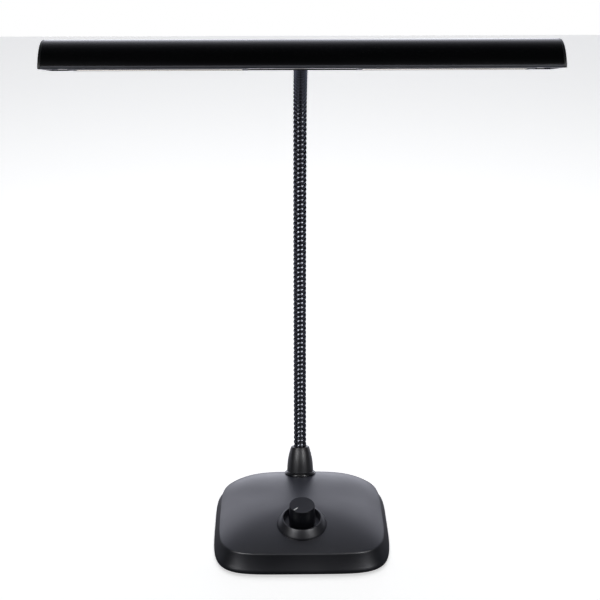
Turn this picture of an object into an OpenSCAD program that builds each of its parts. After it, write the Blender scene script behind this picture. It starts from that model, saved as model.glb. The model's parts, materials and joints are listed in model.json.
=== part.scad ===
// Gooseneck piano lamp: a domed, weighted base with a rotary dimmer, a ribbed
// gooseneck, and a long arched shade with two light windows in its underside.
// Units are millimetres, Z is up, the dimmer knob faces -Y and the shade runs
// along X. The origin lies on the table, under the middle of the base.

/* [Base cover] */
// Width of the base at the crease between dome and side wall
base_w = 131; // [120:1:180]
// Depth of the base at the same crease, front to back
base_d = 137; // [130:1:180]
// How far the side wall flares out at its foot
base_flare = 4.5; // [1:0.5:6]
// Height of the crease at the front
crease_front = 17; // [14:0.5:22]
// Height of the crease at the rear
crease_rear = 12; // [11.5:0.5:16]
// Height of the crown of the dome
crown = 28; // [26:0.5:36]
// Wall thickness of the cover
cover_wall = 2.4; // [1.6:0.2:3.2]
// Gap between the foot of the cover and the table
foot_gap = 1.5; // [1:0.25:3]
// Squareness of the plan outline at the front
front_square = 5.2; // [3:0.1:7]
// Squareness of the plan outline at the rear
rear_square = 3.8; // [3:0.1:6]
// How flat the dome stays before it falls away to the front
front_crown = 2.4; // [2:0.1:4]
// How flat the dome stays before it falls away to the rear
rear_crown = 4.8; // [3:0.1:6]

/* [Base plate, weight and feet] */
// Thickness of the bottom plate
plate_t = 2.5; // [2:0.5:4]
// Width of the steel weight
weight_w = 88; // [60:1:90]
// Depth of the steel weight
weight_d = 78; // [60:1:80]
// Thickness of the steel weight
weight_t = 6; // [4:0.5:7]
// Diameter of a rubber foot
foot_dia = 12; // [8:0.5:14]
// Depth of the recess that holds a foot
foot_recess = 0.8; // [0.5:0.1:1.2]
// Diameter of the posts that take the plate screws
post_dia = 8; // [7:0.5:9]
// Thread diameter of the plate screws
screw_dia = 3; // [2.5:0.5:3.5]

/* [Dimmer knob] */
// Distance from the middle of the base forward to the knob
knob_forward = 37; // [30:1:42]
// Diameter of the knob
knob_dia = 20.2; // [16:0.2:22]
// Height of the knob's top above the dome
knob_top = 18.6; // [16:0.2:22]
// Gap between the knob and the floor of its well
knob_lift = 1.3; // [1:0.1:2]
// Width of the pointer line
pointer_w = 1; // [0.6:0.1:1.6]
// Length of the pointer line
pointer_len = 4.4; // [3:0.2:6]
// Outer diameter of the bezel round the knob
bezel_dia = 39.2; // [36:0.2:44]
// Inner diameter of the bezel's well
well_dia = 29; // [27:0.2:32]
// Height of the bezel's edge above the dome
bezel_h = 6.2; // [4:0.2:8]
// Diameter of the control shaft
shaft_dia = 6; // [5:0.5:6.5]
// Thread diameter of the control's bushing
bushing_dia = 8; // [7.5:0.5:9]
// Diameter of the control's can
can_dia = 16.5; // [15:0.5:18]
// Depth of the control's can
can_h = 8; // [7:0.5:9]

/* [Power inlet] */
// Outer diameter of the inlet's nose
jack_dia = 8; // [7.5:0.1:8.4]
// Diameter of the inlet's socket
jack_bore = 6; // [5:0.1:6.4]
// Height of the inlet's centre line above the table
jack_z = 6.9; // [6.7:0.1:7.2]

/* [Gooseneck] */
// Distance from the middle of the base back to the neck
neck_back = 47; // [40:1:50]
// Outer diameter of the ribbed neck
neck_dia = 10; // [8:0.2:11]
// Diameter of the round wire that makes a rib
rib_dia = 3.4; // [3:0.05:3.5]
// Distance from rib to rib
rib_pitch = 3.86; // [3.75:0.01:4.2]
// Distance from rib to rib across a bending point
bend_pitch = 4.4; // [4.2:0.05:4.6]
// Diameter of the ball at a bending point
ball_dia = 5.2; // [4.6:0.2:5.4]
// Ribs on each section, apart from the top ones
long_ribs = 10; // [8:1:12]
// Ribs on each of the top sections
short_ribs = 8; // [6:1:10]
// Ribs of the neck that sit inside the conical sleeve
cone_ribs = 3; // [2:1:3]
// Ribs of the neck that sit inside the sleeve at the shade
head_ribs = 2; // [1:1:2]
// Bend at rest of each lower section, in degrees
lower_bend = 6; // [4:0.5:10]
// Bend at rest of each middle section, in degrees
middle_bend = 2.2; // [2:0.1:6]
// Bend at rest of each top section, in degrees
top_bend = 23; // [15:0.5:25]

/* [Neck foot] */
// Height of the conical sleeve
cone_h = 20.7; // [18:0.1:26]
// Diameter of the sleeve at its top
cone_top_dia = 15.6; // [13:0.2:17]
// Diameter of the sleeve at its bottom
cone_foot_dia = 21.8; // [18:0.2:24]
// Diameter of the ring under the sleeve
ring_dia = 26; // [24:0.2:30]
// Thickness of that ring
ring_h = 3.2; // [2:0.2:4]
// Thread diameter of the tube through the base
stem_dia = 9; // [8:0.5:9.5]

/* [Shade] */
// Length of the shade with its end caps
shade_len = 356; // [320:2:420]
// Depth of the shade, rear edge to front edge
shade_d = 52; // [48:1:60]
// Rise of the arch above the straight lip
arch_rise = 18.6; // [18:0.2:23]
// Height of the straight lip under the arch
lip_h = 2; // [1.5:0.25:3]
// Wall thickness of the aluminium profile
shade_wall = 1.6; // [1.2:0.1:2]
// Thickness of an end cap
cap_t = 2; // [1.5:0.25:3]
// Height of the neck's centre line above the open side
axis_h = 9; // [8.5:0.25:10]
// Distance from the end of the neck to the shade's rear edge
setback = 9.5; // [8.5:0.5:11]
// Outer diameter of the sleeve behind the shade
sleeve_dia = 13.6; // [13:0.2:15]
// Thread diameter of the tube into the shade
spigot_dia = 7; // [6.5:0.25:8]

/* [Light windows] */
// Length of a window
window_len = 118; // [100:1:120]
// Width of a window
window_w = 32; // [24:1:34]
// Distance from an end of the shade to its window
window_end = 20.5; // [20:0.5:24]
// Width of the dark rim round a window
rim_w = 1.6; // [1.2:0.1:2]
// How far the rim stands proud of the reflector
rim_h = 1.3; // [0.8:0.1:1.6]
// Thickness of the white reflector plate
reflector_t = 1.2; // [1:0.1:1.6]
// Light-emitting diodes in each window
led_count = 14; // [8:1:16]
// Side of a diode's square package
led_side = 5; // [3:0.5:5]
// Width of a diode board
board_w = 14; // [10:0.5:16]
// Height of a diode board above the open side
board_h = 9.5; // [8:0.25:10]

/* [Clearances] */
// Gap round a piece that sits in another
fit = 0.15; // [0.1:0.05:0.3]
// Gap between a turning shaft and its bore
run_fit = 0.05; // [0.03:0.01:0.08]
// Gap between a ball and its cup in the neck
cup_gap = 0.25; // [0.2:0.05:0.35]

/* [Hidden] */
$fn = 96;
hull_fn = 32;
eps = 0.02;
section_count = 10;
lower_sections = 2;
top_sections = 3;

black = "#15161a";
satin = "#1c1d21";
rubber_grey = "#2a2a2a";
steel = "#8c9096";
dark_steel = "#3a3c40";
brass_tone = "#b9974f";
opal = "#f6f7f4";
board_green = "#1f5a3a";

// ---- Shape of the base -------------------------------------------------

// A signed power, for the rounded square of the plan.
function spow(v, p) = sign(v) * pow(abs(v), p);

// Half sizes of the crease outline.
half_w = base_w / 2;
half_d = base_d / 2;

// Share of the front in a direction t: 1 straight ahead, 0 straight back.
function frontness(t) = (1 - sin(t)) / 2;

// A value that goes over from its rear amount to its front amount.
function blend(t, rear, front) = rear + (front - rear) * frontness(t);

// A point of the plan outline in direction t, with half sizes a and b.
function plan_point(t, a, b) =
    let (n = blend(t, rear_square, front_square))
    [a * spow(cos(t), 2 / n), b * spow(sin(t), 2 / n)];

// Height of the crease at the depth y.
function crease_z(y) = crease_front + (crease_rear - crease_front) * (y + half_d) / base_d;

// Height of the dome in direction t, at the share q of the way to the crease.
function dome_z(t, q, y_edge) =
    let (z = crease_z(y_edge))
    z + (crown - z) * (1 - pow(q, blend(t, rear_crown, front_crown)));

// Height and slope of the dome on its centre line, at the depth y.
function side_of(y) = y < 0 ? -90 : 90;
function top_z(y) = dome_z(side_of(y), abs(y) / half_d, sign(y) * half_d);
function top_slope(y) =
    let (m = blend(side_of(y), rear_crown, front_crown), z = crease_z(sign(y) * half_d))
    atan((crown - z) * m * pow(abs(y) / half_d, m - 1) / half_d);

// Rings of the skin, from the foot to the crown, each as [kind, amount].
plan_steps = 72;
foot_round = 2;
wall_bulge = 0.35;
hollow_share = 0.6;
foot_top = foot_gap + foot_round;
hollow_low = foot_top - cover_wall / 2;
dome_shares = [0.985, 0.95, 0.9, 0.83, 0.75, 0.65, 0.54, 0.42, 0.3, 0.18, 0.08];

// How far the side wall stands out from the crease at the share s of its height.
function flare_at(s) = base_flare * (1 - s) * (1 - wall_bulge * s);

// A ring of the side wall at the share s of its height, pulled in by off.
function wall_ring(s, off, z_low) = [for (i = [0:plan_steps - 1])
    let (t = i * 360 / plan_steps,
         out = flare_at(s) - off,
         p = plan_point(t, half_w + out, half_d + out),
         z_top = crease_z(plan_point(t, half_w, half_d)[1]))
    [p[0], p[1], z_low + (z_top - z_low) * s]];

// A ring of the dome at the share q, pulled in and down by the wall.
function dome_ring(q, off) = [for (i = [0:plan_steps - 1])
    let (t = i * 360 / plan_steps,
         e = plan_point(t, half_w, half_d),
         p = plan_point(t, half_w - off, half_d - off))
    [p[0] * q, p[1] * q, dome_z(t, q, e[1]) - off]];

// Joins a stack of rings, with a centre point at each end, into a closed solid.
module ring_stack(rings) {
    n = plan_steps;
    last = len(rings) - 1;
    low = [0, 0, rings[0][0][2]];
    high = [0, 0, max([for (p = rings[last]) p[2]])];
    points = concat([for (r = rings) each r], [low, high]);
    low_i = n * len(rings);
    high_i = low_i + 1;
    polyhedron(points, concat(
        [for (i = [0:n - 1]) [low_i, i, (i + 1) % n]],
        [for (r = [0:last - 1], i = [0:n - 1])
            let (j = (i + 1) % n, a = r * n, b = a + n)
            each [[a + i, b + i, b + j], [a + i, b + j, a + j]]],
        [for (i = [0:n - 1]) [high_i, last * n + (i + 1) % n, last * n + i]]));
}

// The outer skin, from the rounded foot to the crown.
module cover_skin() {
    ring_stack(concat(
        [wall_ring(0, foot_round / 2, foot_gap)],
        [for (s = [0, 0.35, 0.7, 1]) wall_ring(s, 0, foot_top)],
        [for (q = dome_shares) dome_ring(q, 0)]));
}

// The hollow inside, open at the bottom.
module cover_hollow() {
    ring_stack(concat(
        [for (z = [foot_gap - 1, foot_top]) wall_ring(0, cover_wall, z)],
        [wall_ring(hollow_share, cover_wall, hollow_low)],
        [for (q = dome_shares) dome_ring(q, cover_wall)]));
}

// ---- Places on the base ------------------------------------------------

plate_bottom = foot_gap + 0.3;
plate_top = plate_bottom + plate_t;
weight_top = plate_top + weight_t;

// The plate fits the inner wall at the height of its own top, where the wall
// leans in most: at the rear, under the low end of the crease.
hollow_z = hollow_low + (crease_rear - hollow_low) * hollow_share;
lean_in = (flare_at(0) - flare_at(hollow_share)) * max(0, plate_top - foot_top) / (hollow_z - foot_top);
plate_half_w = half_w + base_flare - cover_wall - lean_in - fit;
plate_half_d = half_d + base_flare - cover_wall - lean_in - fit;

// Feet and screw posts, each set in from the crease.
foot_in = [23, 12];
post_in = 13;
post_front_in = 22;
post_rear_in = 29;
foot_places = [for (x = [-1, 1], y = [-1, 1]) [x * (half_w - foot_in[0]), y * (half_d - foot_in[1])]];
post_places = [for (x = [-1, 1], y = [post_front_in - half_d, half_d - post_rear_in])
    [x * (half_w - post_in), y]];

knob_y = -knob_forward;
knob_tilt = top_slope(knob_y);
seat_depth = 1.2;
pad_t = 3;
bezel_floor = 1.5;
neck_lean = -top_slope(neck_back);
boss_drop = 1;
boss_deep = 4;
boss_land = 3;
neck_pad_t = 5;
pad_round = 2;

// Puts children at the knob's axis: Z along the axis, 0 on the dome.
module at_knob() {
    translate([0, knob_y, top_z(knob_y)]) rotate([knob_tilt, 0, 0]) children();
}

// Puts children at the neck's foot: Z along the neck, 0 on the dome.
module at_foot() {
    translate([0, neck_back, top_z(neck_back)]) rotate([neck_lean, 0, 0]) children();
}

// ---- Base --------------------------------------------------------------

neck_boss_r = ring_dia / 2 + 0.4;
jack_gap = 0.3;
jack_face = half_d + base_flare / 2;
jack_body_w = 9;
jack_body_d = 12;
jack_rear = half_d - cover_wall - jack_body_d - 1.5;
pilot_dia = screw_dia - 0.4;
pilot_deep = 8;

// A round cut along the inlet, through the rear wall and the plate's edge.
module jack_cut(dia) {
    translate([0, half_d - jack_body_d, jack_z]) rotate([-90, 0, 0]) cylinder(d = dia, h = 2 * jack_body_d);
}

module base_cover() {
    color(satin) difference() {
        union() {
            cover_skin();
            at_foot() translate([0, 0, -boss_deep]) cylinder(r = neck_boss_r, h = boss_deep - boss_drop);
        }
        difference() {
            cover_hollow();
            for (p = post_places)
                translate([p[0], p[1], plate_top]) cylinder(d = post_dia, h = crown);
            at_knob() translate([0, 0, -seat_depth - pad_t])
                cylinder(d = bezel_dia + 2 * pad_round, h = crown);
            at_foot() translate([0, 0, -boss_drop - neck_pad_t])
                cylinder(r = neck_boss_r + pad_round, h = crown);
        }
        for (p = post_places)
            translate([p[0], p[1], plate_top - 1]) cylinder(d = pilot_dia, h = pilot_deep + 1);
        at_knob() translate([0, 0, -seat_depth]) cylinder(d = bezel_dia + 2 * fit, h = crown);
        at_knob() translate([0, 0, -crown / 2])
            cylinder(d = bushing_dia + 2 * fit, h = crown);
        at_foot() translate([0, 0, -boss_drop]) cylinder(r = neck_boss_r + boss_land, h = crown);
        at_foot() translate([0, 0, -crown / 2]) cylinder(d = stem_dia + 2 * fit, h = crown);
        jack_cut(jack_dia + 2 * jack_gap);
    }
}

module base_plate() {
    color(black) difference() {
        translate([0, 0, plate_bottom]) linear_extrude(height = plate_t)
            polygon([for (i = [0:plan_steps - 1])
                plan_point(i * 360 / plan_steps, plate_half_w, plate_half_d)]);
        for (p = foot_places) translate([p[0], p[1], plate_bottom - 1])
            cylinder(d = foot_dia + 2 * fit, h = 1 + foot_recess);
        jack_cut(jack_dia + 2 * fit);
        for (p = post_places) translate([p[0], p[1], plate_bottom - 1]) {
            cylinder(d = screw_dia + 0.4, h = plate_t + 2);
            cylinder(d = screw_head_dia + 4 * fit, h = 1 + screw_head_h + head_sink);
        }
    }
}

// A flat slab with rounded corners, seated on the plate, set forward of the middle.
weight_corner = 8;
weight_shift = 8;
module base_weight() {
    color(dark_steel) difference() {
        translate([0, -weight_shift, plate_top]) linear_extrude(height = weight_t) hull()
            for (x = [-1, 1], y = [-1, 1])
                translate([x * (weight_w / 2 - weight_corner), y * (weight_d / 2 - weight_corner)])
                    circle(r = weight_corner, $fn = hull_fn);
        for (p = driver_screw_places) translate([p[0], p[1], plate_top - 1])
            cylinder(d = pilot_dia, h = weight_t + 2);
    }
}

// Round feet with a bevelled tread, stuck in the plate's recesses.
foot_bevel = 0.8;
module rubber_feet() {
    color(rubber_grey) for (p = foot_places) translate([p[0], p[1], 0])
        rotate_extrude() polygon([[0, 0], [foot_dia / 2 - foot_bevel, 0], [foot_dia / 2, foot_bevel],
            [foot_dia / 2, plate_bottom + foot_recess], [0, plate_bottom + foot_recess]]);
}

// A pan-head screw that points up from its seat at the origin.
screw_head_dia = 2 * screw_dia;
screw_head_h = 1.2;
head_sink = 0.1;
module screw(length, up = 1) {
    mirror([0, 0, up > 0 ? 0 : 1]) difference() {
        union() {
            translate([0, 0, -screw_head_h]) cylinder(d = screw_head_dia, h = screw_head_h);
            translate([0, 0, -eps]) cylinder(d = screw_dia - 0.5, h = length);
        }
        for (turn = [0, 90]) rotate([0, 0, turn])
            translate([-screw_dia / 2, -0.35, -screw_head_h - 1]) cube([screw_dia, 0.7, 1.7]);
    }
}

module plate_screws() {
    color(steel) for (p = post_places)
        translate([p[0], p[1], plate_bottom + screw_head_h + head_sink]) screw(pilot_deep);
}

// ---- Dimmer ------------------------------------------------------------

washer_t = 0.5;
nut_h = 2;
bushing_top = bezel_floor - seat_depth + washer_t + nut_h + 0.8;
floor_top = bezel_floor - seat_depth;
can_top = -seat_depth - pad_t;
rotor_dia = 12;
rotor_t = 2;
rotor_top = can_top - 1.6;
shaft_top = knob_top - 3;

// The raised ring round the knob: a flat-floored cup with a conical outside.
module knob_bezel() {
    land = 0.8;
    color(black) at_knob() rotate_extrude() polygon([
        [bushing_dia / 2 + fit, -seat_depth], [bezel_dia / 2, -seat_depth],
        [bezel_dia / 2, 0.3], [well_dia / 2 + land + 0.3, bezel_h - 0.3],
        [well_dia / 2 + land, bezel_h], [well_dia / 2 + 0.3, bezel_h],
        [well_dia / 2, bezel_h - 0.3], [well_dia / 2 - 0.6, floor_top],
        [bushing_dia / 2 + fit, floor_top]]);
}

// The rotary control: a can with a threaded bushing that clamps the bezel.
module dimmer_control() {
    color(steel) at_knob() difference() {
        union() {
            translate([0, 0, can_top - can_h]) cylinder(d = can_dia, h = can_h);
            cylinder(d = bushing_dia, h = bushing_top);
            translate([0, 0, can_top - 1]) cylinder(d = bushing_dia, h = 1 - can_top);
            for (x = [-5, 0, 5]) translate([x - 0.9, can_dia / 2 - 1, can_top - can_h + 1])
                cube([1.8, 5, 0.8]);
        }
        translate([0, 0, rotor_top - rotor_t - cup_gap])
            cylinder(d = rotor_dia + 2 * cup_gap, h = rotor_t + 2 * cup_gap);
        translate([0, 0, rotor_top]) cylinder(d = shaft_dia + 2 * run_fit, h = crown);
    }
}

module control_washer() {
    color(steel) at_knob() translate([0, 0, floor_top]) difference() {
        cylinder(d = bushing_dia + 5, h = washer_t);
        translate([0, 0, -1]) cylinder(d = bushing_dia + 2 * fit, h = washer_t + 2);
    }
}

module control_nut() {
    color(steel) at_knob() translate([0, 0, floor_top + washer_t]) difference() {
        cylinder(d = bushing_dia + 4, h = nut_h, $fn = 6);
        translate([0, 0, -1]) cylinder(d = bushing_dia + 2 * run_fit, h = nut_h + 2);
    }
}

// The turning shaft, with the wiper disc that keeps it in the can.
shaft_flat = shaft_dia / 2 - 1.5;
flat_len = 9;
module control_shaft() {
    color(brass_tone) at_knob() difference() {
        union() {
            translate([0, 0, rotor_top - rotor_t]) cylinder(d = rotor_dia, h = rotor_t);
            translate([0, 0, rotor_top - rotor_t])
                cylinder(d = shaft_dia, h = shaft_top - rotor_top + rotor_t);
        }
        rotate([0, 0, pointer_turn])
            translate([shaft_flat, -shaft_dia, shaft_top - flat_len])
                cube([shaft_dia, 2 * shaft_dia, crown]);
    }
}

// The knob, bored for the flatted shaft and hollowed under for the nut.
pointer_turn = 225;
pointer_deep = 0.5;
knob_edge = 0.7;
knob_hollow = bushing_dia + 5.6;
hollow_top = bushing_top + 1;
module dimmer_knob() {
    r = knob_dia / 2;
    low = floor_top + knob_lift;
    color(black) at_knob() difference() {
        rotate_extrude() polygon([[0, low], [r - 0.4, low], [r, low + 0.4], [r - 0.3, knob_top - knob_edge],
            [r - 0.3 - knob_edge, knob_top], [0, knob_top]]);
        translate([0, 0, low - 1]) cylinder(d = knob_hollow, h = hollow_top - low + 1);
        difference() {
            translate([0, 0, low - 1]) cylinder(d = shaft_dia + 2 * run_fit, h = shaft_top + 0.3 - low + 1);
            rotate([0, 0, pointer_turn])
                translate([shaft_flat + run_fit, -shaft_dia, shaft_top - flat_len + 0.3])
                    cube([shaft_dia, 2 * shaft_dia, flat_len + 1]);
        }
        pointer_bar(0);
    }
}

// The inlaid line, which ends short of the knob's bevelled edge.
module pointer_bar(gap) {
    far = knob_dia / 2 - 0.3 - knob_edge - 0.3;
    rotate([0, 0, pointer_turn])
        translate([far - pointer_len + gap, -pointer_w / 2 + gap, knob_top - pointer_deep])
            cube([pointer_len - 2 * gap, pointer_w - 2 * gap, pointer_deep + (gap > 0 ? 0 : 1)]);
}

module knob_pointer() {
    color(opal) at_knob() pointer_bar(0.03);
}

// ---- Driver board, inlet and leads in the base -------------------------

driver_w = 44;
driver_d = 30;
driver_t = 1.6;
driver_y = 4;
spacer_h = 3;
driver_z = weight_top + spacer_h;
driver_screw_places = [for (x = [-1, 1]) [x * (driver_w / 2 - 4), driver_y]];

// A glass-fibre board on two short spacers.
module driver_board() {
    color(board_green) difference() {
        union() {
            translate([-driver_w / 2, driver_y - driver_d / 2, driver_z])
                cube([driver_w, driver_d, driver_t]);
            for (p = driver_screw_places) translate([p[0], p[1], weight_top])
                cylinder(d = 2 * screw_dia, h = spacer_h + eps);
        }
        for (p = driver_screw_places) translate([p[0], p[1], weight_top - 1])
            cylinder(d = screw_dia + 0.2, h = spacer_h + driver_t + 2);
    }
}

// The parts soldered on the board: a choke, two capacitors, a chip and a socket.
module board_parts() {
    top = driver_z + driver_t;
    color(black) {
        translate([-9, driver_y + 7, top]) cylinder(d = 10, h = 5);
        translate([5, driver_y + 9, top]) cylinder(d = 6.3, h = 6);
        translate([12, driver_y + 9, top]) cylinder(d = 5, h = 5);
        translate([-3, driver_y - 4, top]) cube([6, 5, 1.6]);
        translate([-14, driver_y - 13, top]) cube([28, 5, 5]);
    }
}

module driver_board_screws() {
    color(steel) for (p = driver_screw_places)
        translate([p[0], p[1], driver_z + driver_t + 0.02]) screw(spacer_h + driver_t + 3, -1);
}

// A barrel inlet: a block behind the rear wall with its nose in the wall's hole.
module power_inlet() {
    color(black) difference() {
        union() {
            translate([-jack_body_w / 2, jack_rear, plate_top + 0.02])
                cube([jack_body_w, jack_body_d, jack_z + jack_dia / 2 - plate_top]);
            translate([0, jack_rear + jack_body_d - 1, jack_z]) rotate([-90, 0, 0])
                cylinder(d = jack_dia, h = jack_face - jack_rear - jack_body_d + 1 - 1);
        }
        translate([0, jack_rear + 2, jack_z]) rotate([-90, 0, 0]) cylinder(d = jack_bore, h = 30);
    }
    color(steel) translate([0, jack_rear + 1, jack_z]) rotate([-90, 0, 0])
        cylinder(d = 2, h = jack_face - jack_rear - 3);
}

// A wire along a cubic curve from a to d, pulled towards b and c.
wire_dia = 1.6;
wire_sides = 8;
wire_steps = 12;
function curve(p, t) = pow(1 - t, 3) * p[0] + 3 * t * pow(1 - t, 2) * p[1]
    + 3 * t * t * (1 - t) * p[2] + pow(t, 3) * p[3];
function unit(v) = v / norm(v);
function heading(p, t) = unit(curve(p, min(t + 0.01, 1)) - curve(p, max(t - 0.01, 0)));
module wire(p, dia = wire_dia) {
    n = wire_sides;
    rings = [for (s = [0:wire_steps])
        let (t = s / wire_steps, c = curve(p, t), w = heading(p, t),
             u = unit(cross(w, [0.31, 0.17, 0.93])), v = cross(w, u))
        each [for (i = [0:n - 1]) c + dia / 2 * (u * cos(i * 360 / n) + v * sin(i * 360 / n))]];
    polyhedron(rings, concat(
        [[for (i = [0:n - 1]) i]],
        [for (s = [0:wire_steps - 1], i = [0:n - 1])
            let (j = (i + 1) % n, a = s * n, b = a + n)
            each [[a + i, b + i, b + j], [a + i, b + j, a + j]]],
        [[for (i = [n - 1:-1:0]) wire_steps * n + i]]));
}

// Leads from the board's socket to the control, the inlet and the neck.
module base_leads() {
    top = driver_z + driver_t;
    stem_low = foot_point(-stem_below - 1);
    color("#30343a") {
        for (x = [-10, -5, 0]) wire([[x, driver_y - 13.4, top + 2], [x, driver_y - 20, top + 2],
            [x * 0.5 + 2, knob_y + 20, top - 1], [x * 0.5 + 2, knob_y + can_dia / 2 + 4.8, top - 1]]);
        for (x = [-2, 2]) wire([[x + 18, driver_y + 8, top + 1], [x + 18, driver_y + 20, top + 4],
            [x + 6, half_d - 26, top - 2], [x, jack_rear - 0.9, jack_z]]);
        for (x = [-1.6, 1.6]) wire([stem_low + [x, 0, 2], stem_low + [x, -2, -5],
            [x - 8, neck_back - 14, top + 3], [x - 17, driver_y + driver_d / 2 - 2, top + 0.9]]);
    }
}

// ---- Neck foot ---------------------------------------------------------

ring_low = -boss_drop;
ring_top = ring_low + ring_h;
cone_low = ring_top;
cone_top = cone_low + cone_h;
function hidden_len(ribs) = ribs * rib_pitch + 0.6;
stem_top = cone_top - hidden_len(cone_ribs) - 1;
stem_below = 13;
stem_bore = 6;
washer2_t = 1;
nut2_h = 4;

// A point on the neck's axis, at the height h above the dome.
function foot_point(h) = [0, neck_back - h * sin(neck_lean), top_z(neck_back) + h * cos(neck_lean)];

module neck_ring() {
    r = ring_dia / 2;
    color(black) at_foot() rotate_extrude() polygon([[stem_dia / 2 + fit, ring_low], [r - 0.4, ring_low],
        [r, ring_low + 0.5], [r, ring_low + ring_h * 0.45], [r - 1.3, ring_top],
        [stem_dia / 2 + fit, ring_top]]);
}

// A conical moulded sleeve with slightly full sides and a rounded top edge.
cone_full = 0.8;
cone_steps = 8;
cone_round = 1.2;
function cone_r(s) = (cone_foot_dia + (cone_top_dia - cone_foot_dia) * s) / 2 + cone_full * sin(180 * s);
module neck_cone() {
    side = [for (i = [0:cone_steps]) let (s = i / cone_steps)
        [cone_r(s), cone_low + (cone_h - cone_round) * s]];
    edge = [for (a = [15:15:90]) [cone_top_dia / 2 - cone_round * (1 - cos(a)),
        cone_top - cone_round * (1 - sin(a))]];
    color(satin) at_foot() difference() {
        rotate_extrude() polygon(concat([[0, cone_low]], side, edge, [[0, cone_top]]));
        translate([0, 0, stem_top + 0.5]) cylinder(d = neck_dia + 2 * fit, h = cone_h);
        translate([0, 0, cone_low - 1]) cylinder(d = stem_dia + 2 * run_fit, h = cone_h);
    }
}

// The threaded tube that ties cone, ring and cover together.
module neck_stem() {
    color(steel) at_foot() difference() {
        translate([0, 0, -stem_below]) cylinder(d = stem_dia, h = stem_top + stem_below);
        translate([0, 0, -stem_below - 1]) cylinder(d = stem_bore, h = stem_top + stem_below + 2);
    }
}

// A toothed washer: a ring with a crown of teeth.
teeth = 12;
module stem_washer() {
    color(steel) at_foot() translate([0, 0, -boss_drop - neck_pad_t - washer2_t]) difference() {
        union() {
            cylinder(d = stem_dia + 6, h = washer2_t);
            for (i = [0:teeth - 1]) rotate([0, 0, i * 360 / teeth])
                translate([stem_dia / 2 + 2.5, -0.7, 0]) cube([1.6, 1.4, washer2_t]);
        }
        translate([0, 0, -1]) cylinder(d = stem_dia + 2 * fit, h = washer2_t + 2);
    }
}

module stem_nut() {
    color(steel) at_foot() translate([0, 0, -boss_drop - neck_pad_t - washer2_t - nut2_h]) difference() {
        cylinder(d = stem_dia + 6.5, h = nut2_h, $fn = 6);
        translate([0, 0, -1]) cylinder(d = stem_dia + 2 * run_fit, h = nut2_h + 2);
    }
}

// ---- Gooseneck ---------------------------------------------------------

// The neck is a chain of curved sections. Section 1 is held in the cone and the
// last one in the shade's sleeve; between two sections a ball sits in a cup.
function ribs_of(k) = k > section_count - top_sections ? short_ribs : long_ribs;
function bend_of(k) = k <= lower_sections ? lower_bend
    : k > section_count - top_sections ? top_bend : middle_bend;
function length_of(k) = (ribs_of(k) - 1) * rib_pitch + bend_pitch;
function radius_of(k) = length_of(k) * 180 / (PI * bend_of(k));
function lean_of(k) = k == 1 ? neck_lean : lean_of(k - 1) + bend_of(k - 1);

// A vector in a section's frame, turned into the lamp's frame.
function leant(v, lean) = [v[0], v[1] * cos(lean) - v[2] * sin(lean), v[1] * sin(lean) + v[2] * cos(lean)];
function arc_point(r, a) = [0, -r * (1 - cos(a)), r * sin(a)];
function start_of(k) = k == 1 ? foot_point(cone_top)
    : start_of(k - 1) + leant(arc_point(radius_of(k - 1), bend_of(k - 1)), lean_of(k - 1));

core_dia = neck_dia - rib_dia + 0.6;
neck_end = start_of(section_count + 1);
end_lean = lean_of(section_count + 1);

// One turn of the round wire.
module rib() {
    rotate_extrude() translate([(neck_dia - rib_dia) / 2, 0]) circle(d = rib_dia, $fn = 32);
}

// A stretch of the neck's core from the angle a0 to the angle a1 of its arc.
module bent_core(r, a0, a1) {
    translate([0, -r, 0]) rotate([90, 0, 90]) rotate([0, 0, a0])
        rotate_extrude(angle = a1 - a0) translate([r, 0]) circle(d = core_dia);
}

// The straight stretch at an end of the neck, inside its sleeve. Its core is a
// little thinner and laps into the bent one.
core_lap = 1;
core_step = 0.1;
module straight_end(ribs) {
    for (j = [0:ribs - 1]) translate([0, 0, (j + 0.5) * rib_pitch + 0.2]) rib();
    translate([0, 0, -core_lap]) cylinder(d = core_dia - 2 * core_step, h = hidden_len(ribs) + core_lap);
}

module neck_section(k) {
    r = radius_of(k);
    first = bend_pitch / 2 / r * 180 / PI;
    step = rib_pitch / r * 180 / PI;
    last = bend_of(k) - first;
    color(dark_steel) translate(start_of(k)) rotate([lean_of(k), 0, 0]) difference() {
        union() {
            for (j = [0:ribs_of(k) - 1]) let (a = first + j * step)
                translate(arc_point(r, a)) rotate([a, 0, 0]) rib();
            bent_core(r, k == 1 ? 0 : first, k == section_count ? bend_of(k) : last);
            if (k > 1) sphere(d = ball_dia);
            if (k == 1) mirror([0, 0, 1]) straight_end(cone_ribs);
            if (k == section_count) translate(arc_point(r, bend_of(k)))
                rotate([bend_of(k), 0, 0]) straight_end(head_ribs);
        }
        if (k < section_count) translate(arc_point(r, bend_of(k)))
            rotate([bend_of(k), 0, 0]) sphere(d = ball_dia + 2 * cup_gap);
    }
}

// ---- Shade -------------------------------------------------------------

// Puts children in the shade's frame: X along it, Y up from the open side and
// Z forward from the rear edge.
module at_shade() {
    translate(neck_end) rotate([end_lean, 0, 0]) translate([0, -axis_h, setback]) children();
}

// Runs a profile, drawn as [forward, up], along X.
module along(length, x = 0) {
    translate([x, 0, 0]) rotate([0, -90, 0]) linear_extrude(height = length, center = true) children();
}

arch_half = shade_d / 2;
arch_r = (arch_half * arch_half + arch_rise * arch_rise) / (2 * arch_rise);
arch_z = lip_h + arch_rise - arch_r;
profile_len = shade_len - 2 * cap_t;
slot_low = 0.8;
slot_h = reflector_t + 2 * fit;
ledge = 1.2;
ledge_t = 1;
reflector_low = slot_low + fit;
reflector_top = reflector_low + reflector_t;

// The outline of the shade, pulled in all round by inset.
module arch(inset) {
    intersection() {
        translate([arch_half, arch_z]) circle(r = arch_r - inset);
        translate([inset, 0]) square([shade_d - 2 * inset, lip_h + arch_rise - inset]);
    }
}

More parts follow.
